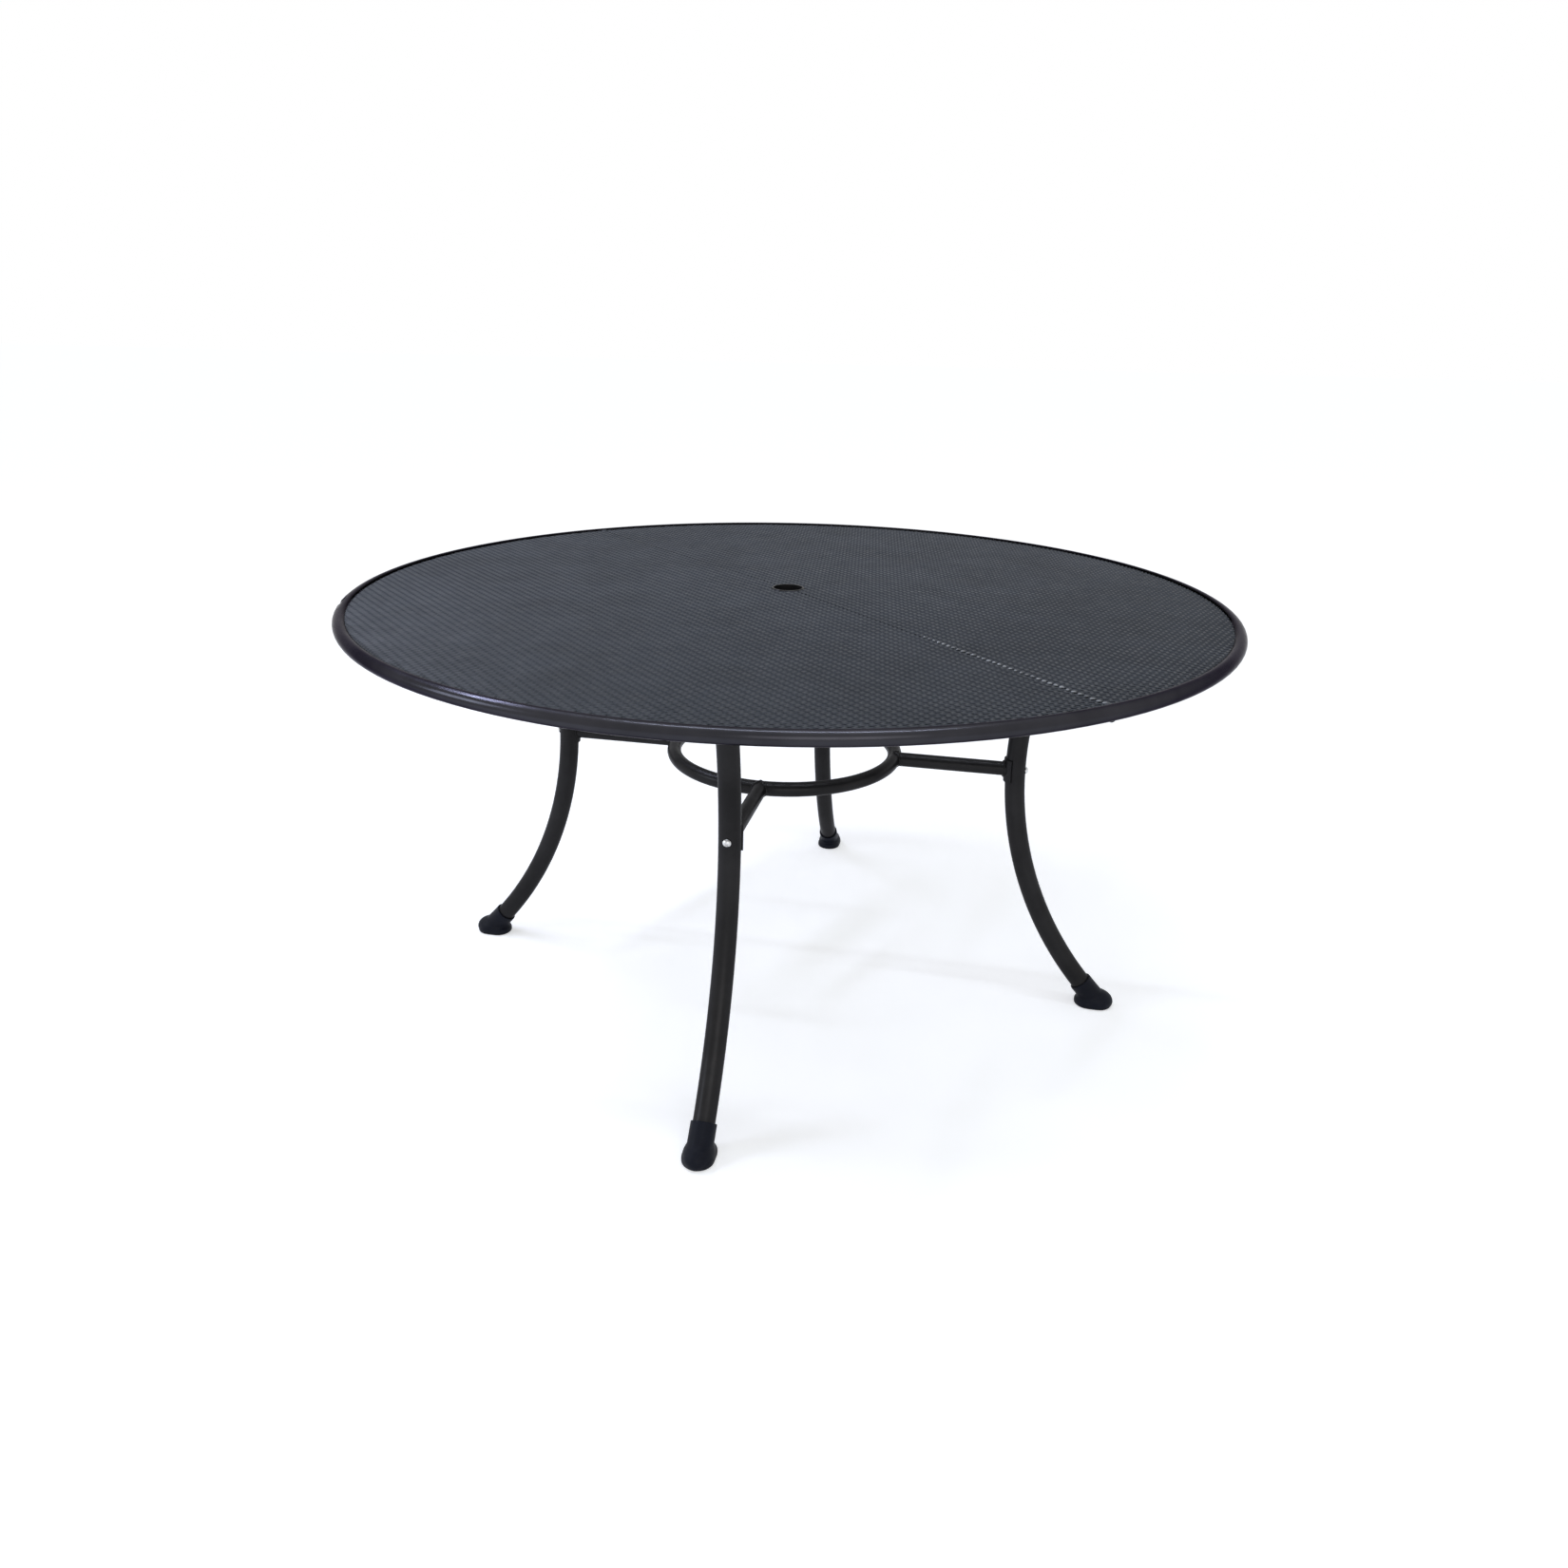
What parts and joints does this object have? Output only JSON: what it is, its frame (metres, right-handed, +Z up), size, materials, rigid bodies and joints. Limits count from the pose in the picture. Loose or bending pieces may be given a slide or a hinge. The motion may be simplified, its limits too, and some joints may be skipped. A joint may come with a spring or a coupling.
{
  "type": "round patio table",
  "caption": "Round outdoor dining table: expanded-mesh top in a tubular rim, with an umbrella hole, on bowed tube legs tied by a ring stretcher, in plastic boots.",
  "frame": {"origin": "on the floor, under the middle of the umbrella hole", "axes": "+Z up along the umbrella hole; the legs stand on the X and Y axes; the seam of the mesh runs between them, at 135 degrees from +X"},
  "size_m": [1.4998, 1.4998, 0.7461],
  "materials": {
    "mesh": "powder coat, satin slate grey",
    "rim": "powder coat, satin dark slate",
    "frame": "powder coat, satin near-black",
    "boot": "moulded black plastic",
    "zinc": "bright zinc plate"
  },
  "bodies": {
    "root": {"rim": "rim", "mesh_front": "mesh", "mesh_back": "mesh", "seam_bar_left": "frame", "seam_bar_right": "frame", "bar_right": "frame", "bar_back": "frame", "bar_left": "frame", "bar_front": "frame", "hub": "frame", "support_ring": "frame", "leg_right": "frame", "leg_back": "frame", "leg_left": "frame", "leg_front": "frame", "top_plate_right": "frame", "top_plate_back": "frame", "top_plate_left": "frame", "top_plate_front": "frame", "leg_bolts": "zinc", "leg_washers": "zinc", "leg_nuts": "zinc", "stretcher_ring": "frame", "spoke_right": "frame", "spoke_back": "frame", "spoke_left": "frame", "spoke_front": "frame", "saddle_right": "frame", "saddle_back": "frame", "saddle_left": "frame", "saddle_front": "frame", "spoke_plugs": "frame", "stretcher_bolts": "zinc", "boot_right": "boot", "boot_back": "boot", "boot_left": "boot", "boot_front": "boot"}
  },
  "joints": []
}
